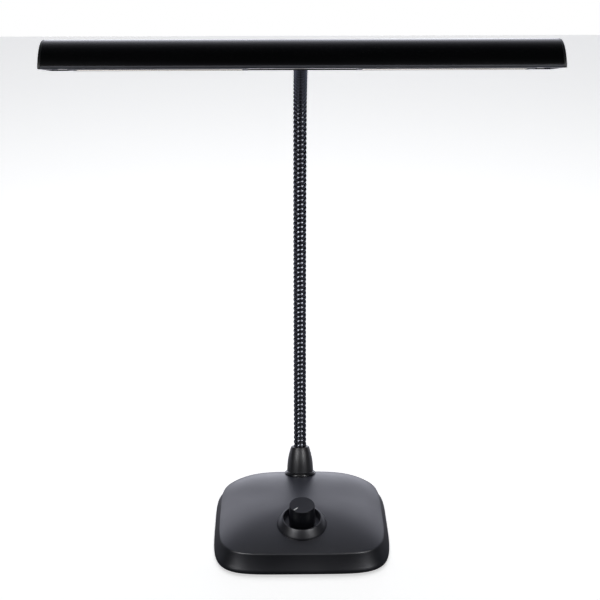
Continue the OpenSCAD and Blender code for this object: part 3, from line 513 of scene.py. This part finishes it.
ring_r, ring_low, bevel_low, ring_top, ring_bevel = 13.0, -1.0, 0.55, 2.2, 1.5
stem_hole_r = 4.6
ring_line = rounded([[stem_hole_r, ring_low], [ring_r - 0.3, ring_low], [ring_r, ring_low + 0.5],
                     [ring_r, bevel_low], [ring_r - ring_bevel, ring_top],
                     [stem_hole_r, ring_top]], [0, 0.3, 0.3, 0.35, 0.45, 0])
foot_ring = turned("bevelled_ring", ring_line, neck_lean, neck_foot, 128, closed=False)
# ABS from a mirror-polished tool: deep black with one bright line on the bevel.
ring_abs = grained("polished_ring_abs", "#18191c", "#1e1f23", 0.22, 0.8, 0.008, IOR=1.6,
                   Specular_IOR_Level=1.0)
wear(crisp(foot_ring, 40), ring_abs, "base", "foot_ring_plastic", "neck_ring")

# The cone's side is a straight taper plus a half wave of bulge, and its upper edge a
# quarter circle; the neck goes into its bore.
cone_low, cone_h, cone_foot_r, cone_top_r = ring_top, 20.7, 10.9, 7.8
cone_bulge, cone_round, bore_r, bore_deep = 0.8, 1.2, 5.2, 12.0
cone_top = cone_low + cone_h
rise = np.linspace(0, 1, 15)
cone_side = np.stack([
    cone_foot_r + (cone_top_r - cone_foot_r) * rise + cone_bulge * np.sin(np.pi * rise),
    cone_low + (cone_h - cone_round) * rise], -1)
turn = np.radians(np.arange(12, 91, 13))
cone_edge = np.stack([cone_top_r - cone_round * (1 - np.cos(turn)),
                      cone_top - cone_round * (1 - np.sin(turn))], -1)
cone_line = np.vstack([[[stem_hole_r, cone_low], [cone_foot_r - 0.3, cone_low]],
                       cone_side, cone_edge,
                       [[bore_r + 0.3, cone_top], [bore_r, cone_top - 0.4],
                        [bore_r, cone_top - bore_deep], [stem_hole_r, cone_top - bore_deep]]])
sleeve = turned("conical_sleeve", cone_line, neck_lean, neck_foot, 128, closed=False)
# ABS with a fine moulded texture: greyer and softer than the ring below it.
sleeve_abs = grained("fine_textured_abs", "#29292c", "#343437", 0.38, 0.6, 0.02, IOR=1.53,
                     Specular_IOR_Level=1.0)
wear(crisp(sleeve, 40), sleeve_abs, "base", "cone_plastic", "neck_cone")

# ---- Gooseneck --------------------------------------------------------------
# Round spring-steel wire, wound with a wedge-shaped one whose friction holds a bend.
# Each length runs from the middle of one section to the middle of the next, and bends
# over the joint between them or parts there over a small steel core.

# Ribs and bend, in degrees, of each section; the stations are the sections' ends, and
# the tails are the ends that sit in the cone and in the sleeve behind the shade.
neck_r, wire_r, pitch, bend_gap = 5.25, 2.7, 3.86, 4.4
ribs = np.array([10] * 7 + [8] * 3)
bends = np.array([6.0] * 2 + [2.2] * 5 + [23.0] * 3)
lengths = (ribs - 1) * pitch + bend_gap
tail, head_tail = 11.0, 8.0
stations = np.concatenate([[0], np.cumsum(lengths)])


def neck_line(s):
    """Points and headings along the neck. The lean grows evenly within each section,
    so the heading is an angle in the YZ plane, and the line is its running sum in
    steps of 0.05 mm from the foot of the first section, which is the cone's top."""
    fine_s = np.linspace(-tail, stations[-1] + tail, 8001)
    lean = neck_lean + np.interp(fine_s, stations, np.concatenate([[0], np.cumsum(bends)]))
    rate = np.stack([np.zeros_like(lean), -np.sin(np.radians(lean)), np.cos(np.radians(lean))], -1)
    step = (rate[1:] + rate[:-1]) / 2 * np.diff(fine_s)[:, None]
    line = np.vstack([[0, 0, 0], np.cumsum(step, 0)])
    lean0 = math.radians(neck_lean)
    start = np.array(neck_foot) + cone_top * np.array([0, -math.sin(lean0), math.cos(lean0)])
    at_start = np.stack([np.interp(0, fine_s, line[:, i]) for i in range(3)])
    point = np.stack([np.interp(s, fine_s, line[:, i]) for i in range(3)], -1) - at_start + start
    heading = np.radians(np.interp(s, fine_s, lean))
    return point, heading


def wound(name, s0, s1):
    """A length of the winding. The radius is that of round wires side by side,
    R - w + sqrt(w^2 - d^2), where d is the way from the nearest wire's middle; the
    middle moves up one pitch in each turn, as a right-handed helix."""
    rows_per_turn, fewest_rows, sides = 14, 24, 56
    s = np.linspace(s0, s1, max(fewest_rows, int((s1 - s0) / pitch * rows_per_turn)))
    a = np.arange(sides) * 2 * np.pi / sides
    point, heading = neck_line(s)
    d = ((s[:, None] / pitch - a[None] / (2 * np.pi)) % 1 - 0.5) * pitch
    radius = neck_r - wire_r + np.sqrt(wire_r ** 2 - d ** 2)
    side = np.stack([np.ones_like(s), np.zeros_like(s), np.zeros_like(s)], -1)
    back = np.stack([np.zeros_like(s), np.cos(heading), np.sin(heading)], -1)
    grid = point[:, None] + radius[..., None] * (np.cos(a)[None, :, None] * side[:, None]
                                                 + np.sin(a)[None, :, None] * back[:, None])
    return crisp(skin(name, grid, point[0], point[-1]), 50)


# Spring steel, blackened and polished: a metal that mirrors the softboxes in two
# bright lines and goes nearly black between them and at its edges.
black_steel = grained("blackened_spring_steel", "#71737a", "#7b7d84", 0.22, 0.9, 0.004,
                      Metallic=1.0, Specular_Tint=linear("#3a3a3c"))
middles = (stations[1:] + stations[:-1]) / 2
bodies = ["base"] + [f"neck_{k}" for k in range(2, 10)] + ["head"]
wear(wound("neck_foot_winding", -tail, middles[0]),
     black_steel, "base", "neck_steel", "neck_section_1")
wear(wound("neck_head_winding", middles[-1], stations[-1] + head_tail),
     black_steel, "head", "neck_steel", "neck_section_10")
# Over the lowest joint and the three that bend sideways the winding is blended. The
# others are hinges along X behind bodies that have turned already, where rounding can
# throw the blend's pivot far off along the hinge. There the winding parts at the
# joint, and a ball inside fills the wedge that opens.
smooth_joints, core_r, blend_in = (0, 1, 3, 5), 4.3, 1.5
arc = np.radians(np.arange(-90, 91, 10))
core_line = np.stack([core_r * np.cos(arc), core_r * np.sin(arc)], -1)
for k in range(9):
    stands_for = [f"neck_section_{k + 2}"] if k < 8 else []
    if k in smooth_joints:
        winding = wound(f"neck_winding_{k + 1}", middles[k], middles[k + 1])
        winding.data.materials.append(black_steel)
        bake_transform(winding)
        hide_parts(*stands_for)
        continue
    joint = stations[k + 1]
    wear(wound(f"neck_winding_{k + 1}_low", middles[k], joint),
         black_steel, bodies[k], "neck_steel")
    wear(wound(f"neck_winding_{k + 1}_high", joint, middles[k + 1]),
         black_steel, bodies[k + 1], "neck_steel", *stands_for)
    centre, _ = neck_line(np.array([joint]))
    core = turned(f"neck_core_{k + 1}", core_line, 0, centre[0], 40)
    wear(core, black_steel, bodies[k], "neck_steel")

# ---- Shade ------------------------------------------------------------------
# One aluminium extrusion, black anodised: an arch with a short straight lip on each
# side and an inward ledge that holds the white plate. Its ends are closed by caps.

shade_len, shade_d, lip_h, arch_rise, shade_wall = 356.0, 52.0, 2.0, 18.6, 1.6
cap_t, axis_h, setback = 2.0, 9.0, 9.5
shade_end, profile_end = shade_len / 2, shade_len / 2 - cap_t
# The arch is part of a circle through both lips' tops and the crest.
arch_r = ((shade_d / 2) ** 2 + arch_rise ** 2) / (2 * arch_rise)
arch_y = lip_h + arch_rise - arch_r
end_point, end_heading = neck_line(np.array([stations[-1]]))
end_point, end_heading = end_point[0], float(end_heading[0])


def on_shade(points):
    """From the shade's frame, X along it, Y up from its open side and Z forward, to
    the lamp's: forward is the neck's last heading, up is square to it, and the neck
    ends axis_h above the open side and setback behind the rear edge."""
    c, s = math.cos(end_heading), math.sin(end_heading)
    turn = np.array([[1, 0, 0], [0, c, -s], [0, s, c]])
    return (points + np.array([0, -axis_h, setback])) @ turn.T + end_point


def arch_line(inset, low, steps=72):
    """The outline [forward, up]: up one lip, over the arch and down the other. The arch
    is the circle of radius arch_r about [shade_d / 2, arch_y], drawn in by the inset."""
    r = arch_r - inset
    reach = math.asin((shade_d / 2 - inset) / r)
    a = np.linspace(-reach, reach, steps)
    over = np.stack([shade_d / 2 + r * np.sin(a), arch_y + r * np.cos(a)], -1)
    return np.vstack([[[inset, low]], over, [[shade_d - inset, low]]])


def carried(name, line, stops):
    """A closed [forward, up] line carried along X, through the [x, inset] stops,
    where an inset draws the line in towards its middle; both ends are closed."""
    middle = line.mean(0)
    reach = np.linalg.norm(line - middle, axis=1, keepdims=True)
    grid = []
    for x, inset in stops:
        drawn = middle + (line - middle) * (1 - inset / reach)
        grid.append(np.column_stack([np.full(len(line), x), drawn[:, 1], drawn[:, 0]]))
    grid = on_shade(np.stack(grid))
    return skin(name, grid, grid[0].mean(0), grid[-1].mean(0))


def walled(name, outer, inner, stops):
    """A channel: the outer and the inner line, each as [forward, up], carried along X
    and joined along both lips and at both ends."""
    loop = np.vstack([outer, inner[::-1]])
    grid = on_shade(np.stack([np.column_stack([np.full(len(loop), x), loop[:, 1], loop[:, 0]])
                              for x in stops]))
    rows, cols = grid.shape[:2]
    index = np.arange(rows * cols).reshape(rows, cols)
    nxt = np.roll(index, -1, 1)
    quads = [np.stack([index[:-1], nxt[:-1], nxt[1:], index[1:]], -1).reshape(-1, 4)]
    half = len(outer)
    for ring, sign in ((0, 1), (-1, -1)):
        a, b = index[ring][:half], index[ring][half:][::-1]
        ends = np.stack([a[:-1], b[:-1], b[1:], a[1:]], -1)
        quads.append(ends[:, ::sign])
    return solid(name, grid.reshape(-1, 3), np.vstack(quads))


def both_lips(lip, over):
    """A lip's edge, the line over the arch, and the lip's mirror image."""
    return np.vstack([lip, over, np.column_stack([shade_d - lip[::-1, 0], lip[::-1, 1]])])


# Each lip's edge, going up: rounded outside, and with the ledge's edge inside.
lip_out = np.array([[0.9, 0.0], [0.25, 0.08], [0.03, 0.4]])
lip_in = np.array([[2.8, 0.0], [2.8, 0.75], [shade_wall, 0.8]])
outer = both_lips(lip_out, arch_line(0, 0.9))
inner = both_lips(lip_in, arch_line(shade_wall, 3.5))
lengths_of_shell = 24
shell = walled("arched_shade", outer, inner,
               np.linspace(-profile_end, profile_end, lengths_of_shell + 1))
# Aluminium, drawn, fine-blasted and anodised black: a silky sheen, drawn out four
# times along the extrusion.
drawn_out = (0.25, 1, 1)
anodised = grained("black_anodised_aluminium", "#040506", "#07080a", 0.22, 0.8, 0.01, drawn_out,
                   IOR=1.37)
wear(crisp(shell, 40), anodised, "head", "shade_aluminium", "shade_profile")
# The straight lips carry a painted highlight: a lighter, duller band that stands in for the light
# their edge reflects.
painted_lip_highlight = grained("black_lip_painted_highlight", "#6c6e76", "#7a7c84", 0.42, 0.8, 0.01, drawn_out,
                    IOR=1.5)
shell.data.materials.append(painted_lip_highlight)
# In each length of the shell, the faces of the lip's edge and of its straight side, which take the
# painted highlight.
per_length, lip_faces, last = len(outer) + len(inner), len(lip_out) + 1, len(outer) - 1
face = np.arange(len(shell.data.polygons))
nth = face % per_length
on_lip = (nth < lip_faces) | ((nth >= last - lip_faces) & (nth < last))
marks = (on_lip & (face < lengths_of_shell * per_length)).astype(np.int32)
shell.data.polygons.foreach_set("material_index", marks)

# ---- End caps ---------------------------------------------------------------
# A moulded plate of the shade's outline closes each end, with a small round on its
# outer edge and a rim behind it that plugs into the extrusion.

# ABS from a plain tool: black, half dull, a little unlike the anodised shade.
cap_abs = grained("moulded_cap_abs", "#0d0e10", "#141517", 0.36, 0.7, 0.015, IOR=1.53)
cap_line, cap_gap = arch_line(0, 0), 0.02
# The round on the cap's outer edge, as [short of the end, drawn in].
cap_round = [(0.8, 0), (0.4, 0.1), (0.15, 0.3), (0, 0.75)]
for side, name in ((-1, "left"), (1, "right")):
    stops = [(side * (profile_end + cap_gap), 0)]
    stops += [(side * (shade_end - short), inset) for short, inset in cap_round]
    cap = carried(f"{name}_cap_plate", cap_line, stops)
    wear(crisp(cap, 50), cap_abs, "head", "cap_plastic", f"{name}_end_cap")

# ---- Reflector plate, diode boards and windows ------------------------------
# A white polycarbonate plate slides into the shade's slot. Each window in it holds a
# dark rim and a frosted opal pane; the diodes shine on the pane from a board above.

# White polycarbonate with a painted glow: a faint emission keeps it bright where little light
# reaches it.
lit_white = linear("#fff8ee")
white_sheet_painted_glow = grained("white_polycarbonate_painted_glow", "#e9e9e6", "#f0f0ee", 0.45, 1.2, 0.004,
                      IOR=1.58, Emission_Color=lit_white, Emission_Strength=0.3)
dress(white_sheet_painted_glow, "reflector_plate", "left_led_board", "right_led_board")
# Phosphor in clear resin over each diode: pale yellow and slightly rough.
phosphor = grained("yellow_phosphor", "#e8d58a", "#f2e2a2", 0.5, 0.4, 0.01, IOR=1.5)
dress(phosphor, "left_leds", "right_leds")
# ABS with a matt texture, so that the rim stays dark beside the lit pane.
rim_abs = grained("matt_rim_abs", "#1d1e20", "#26272a", 0.5, 0.7, 0.01, IOR=1.53)
dress(rim_abs, "left_window_rim", "right_window_rim")
# Opal acrylic lit from behind: an even glow, barely warmer than white.
opal = grained("frosted_opal_acrylic", "#f3f3ef", "#f8f8f5", 0.55, 0.5, 0.004, IOR=1.49,
               Emission_Color=lit_white, Emission_Strength=0.9)
dress(opal, "left_diffuser", "right_diffuser")

# ---- Sleeve behind the shade ------------------------------------------------
# The neck's upper end sits in a short moulded sleeve, cut to lie on the arch. A
# threaded tube, a saddle and a nut inside the shade hold it.

dress(sleeve_abs, "head_sleeve")

# ---- Table, light and camera ------------------------------------------------
# A pale table and a white surround, with a broad soft light above and one on each
# side of the camera, as for a catalogue picture.

def sheet_of(name, low, high, height, n=5):
    """A flat grid of n by n points from one corner to another, at one height."""
    x, y = np.meshgrid(np.linspace(low[0], high[0], n), np.linspace(low[1], high[1], n))
    points = np.stack([x.ravel(), y.ravel(), np.full(n * n, height)], -1)
    index = np.arange(n * n).reshape(n, n)
    quads = [index[:-1, :-1], index[:-1, 1:], index[1:, 1:], index[1:, :-1]]
    return solid(name, points, np.stack(quads, -1).reshape(-1, 4))


# The feet stand on the table with a gap too small to see. To the camera it is a white
# laminate with the lamp's shadow. The lamp's gloss mirrors it dark in front and bright
# behind, and to all other light it is a dim grey, so that it throws little up.
table = sheet_of("table", (-1500, -450), (1500, 2200), -0.05)
white, tree, shader = finish("white_table", "#f2f2f2", 0.6)
cool = (0.97, 0.98, 1.1)  # the tint of all that gloss mirrors
path = add(tree, "ShaderNodeLightPath")
dull = add(tree, "ShaderNodeBsdfDiffuse", {"Color": (0.14, 0.14, 0.14, 1)})
glow = add(tree, "ShaderNodeEmission", {"Color": (1, 1, 1, 1), "Strength": 0.62})
both = add(tree, "ShaderNodeAddShader")
tree.links.new(shader.outputs[0], both.inputs[0])
tree.links.new(glow.outputs[0], both.inputs[1])
place = add(tree, "ShaderNodeTexCoord")
split = add(tree, "ShaderNodeSeparateXYZ", Vector=place.outputs["Object"])
far = add(tree, "ShaderNodeMapRange",
          {"interpolation_type": "SMOOTHSTEP", "From Min": -0.1, "From Max": 0.7,
           "To Min": 0.03, "To Max": 2.0}, Value=split.outputs["Y"])
mirrored = add(tree, "ShaderNodeEmission", {"Color": (*cool, 1)}, Strength=far.outputs[0])
off_camera = add(tree, "ShaderNodeMixShader", Fac=path.outputs["Is Glossy Ray"])
tree.links.new(dull.outputs[0], off_camera.inputs[1])
tree.links.new(mirrored.outputs[0], off_camera.inputs[2])
whole = add(tree, "ShaderNodeMixShader", Fac=path.outputs["Is Camera Ray"])
tree.links.new(off_camera.outputs[0], whole.inputs[1])
tree.links.new(both.outputs[0], whole.inputs[2])
tree.links.new(whole.outputs[0], tree.nodes["Material Output"].inputs["Surface"])
table.data.materials.append(white)

# The room: white to the camera and a dim, cool fill to everything else. What gloss
# mirrors of it goes by direction along Y, as [Y from -1 to 1, brightness]: a soft band
# in front, darkness above, and a bright wall behind the lamp.
world = bpy.data.worlds.new("studio")
bpy.context.scene.world = world
world.use_nodes = True
tree = world.node_tree
room = tree.nodes["Background"]
room.inputs["Color"].default_value = (0.85, 0.92, 1.0, 1)
room.inputs["Strength"].default_value = 0.09
seen = add(tree, "ShaderNodeBackground", {"Color": (1, 1, 1, 1), "Strength": 1.0})
path = add(tree, "ShaderNodeLightPath")
glossy = add(tree, "ShaderNodeBackground", {"Strength": 1.0})
place = add(tree, "ShaderNodeTexCoord")
split = add(tree, "ShaderNodeSeparateXYZ", Vector=place.outputs["Generated"])
y_share = add(tree, "ShaderNodeMath", {"operation": "MULTIPLY_ADD"})
tree.links.new(split.outputs["Y"], y_share.inputs[0])
y_share.inputs[1].default_value = y_share.inputs[2].default_value = 0.5
tones = add(tree, "ShaderNodeValToRGB", Fac=y_share.outputs[0])
ramp = tones.color_ramp
front_tones = ((-0.88, 0.02), (-0.8, 0.45), (-0.68, 0.3), (-0.5, 0.02), (0.0, 0.01))
rear_tones = ((0.17, 0.015), (0.34, 0.035), (0.5, 0.085), (0.64, 0.17), (0.8, 0.5), (0.88, 1.0),
              (0.95, 1.6))
for at, tone in front_tones + rear_tones:
    ramp.elements.new((at + 1) / 2).color = (*(tone * part for part in cool), 1)
# The ramp's own two ends: straight in front, and straight behind.
ramp.elements[0].color = (0.01, 0.01, 0.011, 1)
ramp.elements[-1].color = (2.4, 2.45, 2.7, 1)
tree.links.new(tones.outputs["Color"], glossy.inputs["Color"])
off_camera = add(tree, "ShaderNodeMixShader", Fac=path.outputs["Is Glossy Ray"])
tree.links.new(room.outputs[0], off_camera.inputs[1])
tree.links.new(glossy.outputs[0], off_camera.inputs[2])
whole = add(tree, "ShaderNodeMixShader", Fac=path.outputs["Is Camera Ray"])
tree.links.new(off_camera.outputs[0], whole.inputs[1])
tree.links.new(seen.outputs[0], whole.inputs[2])
tree.links.new(whole.outputs[0], tree.nodes["World Output"].inputs["Surface"])


def lamp(name, where, towards, size, watts):
    """A rectangular soft light at a point, turned to face another, both in metres."""
    light = bpy.data.lights.new(name, "AREA")
    light.shape, light.size, light.size_y, light.energy = "RECTANGLE", size[0], size[1], watts
    made = bpy.data.objects.new(name, light)
    bpy.context.scene.collection.objects.link(made)
    made.location = where
    made.rotation_mode = "QUATERNION"
    made.rotation_quaternion = (Vector(towards) - Vector(where)).to_track_quat("-Z", "Y")
    return made


# The top softbox gives the plain light and the shadow, and gloss doesn't mirror it. The
# side softboxes are only mirrored, and draw the two bright lines along the neck.
top = lamp("top_softbox", (0, 0.4, 1.45), (0, 0, 0.1), (1.2, 1.0), 12)
top.visible_glossy = False
for name, x in (("left_softbox", -1.0), ("right_softbox", 1.0)):
    box = lamp(name, (x, -1.12, 1.2), (0, 0, 0.3), (0.6, 0.9), 9.5)
    box.visible_diffuse = False

# The camera fitted to the picture: about 1.1 m away, looking down 21 degrees and
# turned a little to the right.
look_down, look_right = 21.0, 0.925
eye = bpy.data.cameras.new("eye")
eye.lens, eye.sensor_width, eye.sensor_fit = 84.0, 36.0, "HORIZONTAL"
camera = bpy.data.objects.new("eye", eye)
bpy.context.scene.collection.objects.link(camera)
camera.location = (-0.017, -0.998, 0.582)
camera.rotation_euler = (math.radians(90 - look_down), 0, math.radians(-look_right))
bpy.context.scene.camera = camera
bpy.context.scene.view_settings.view_transform = "Standard"
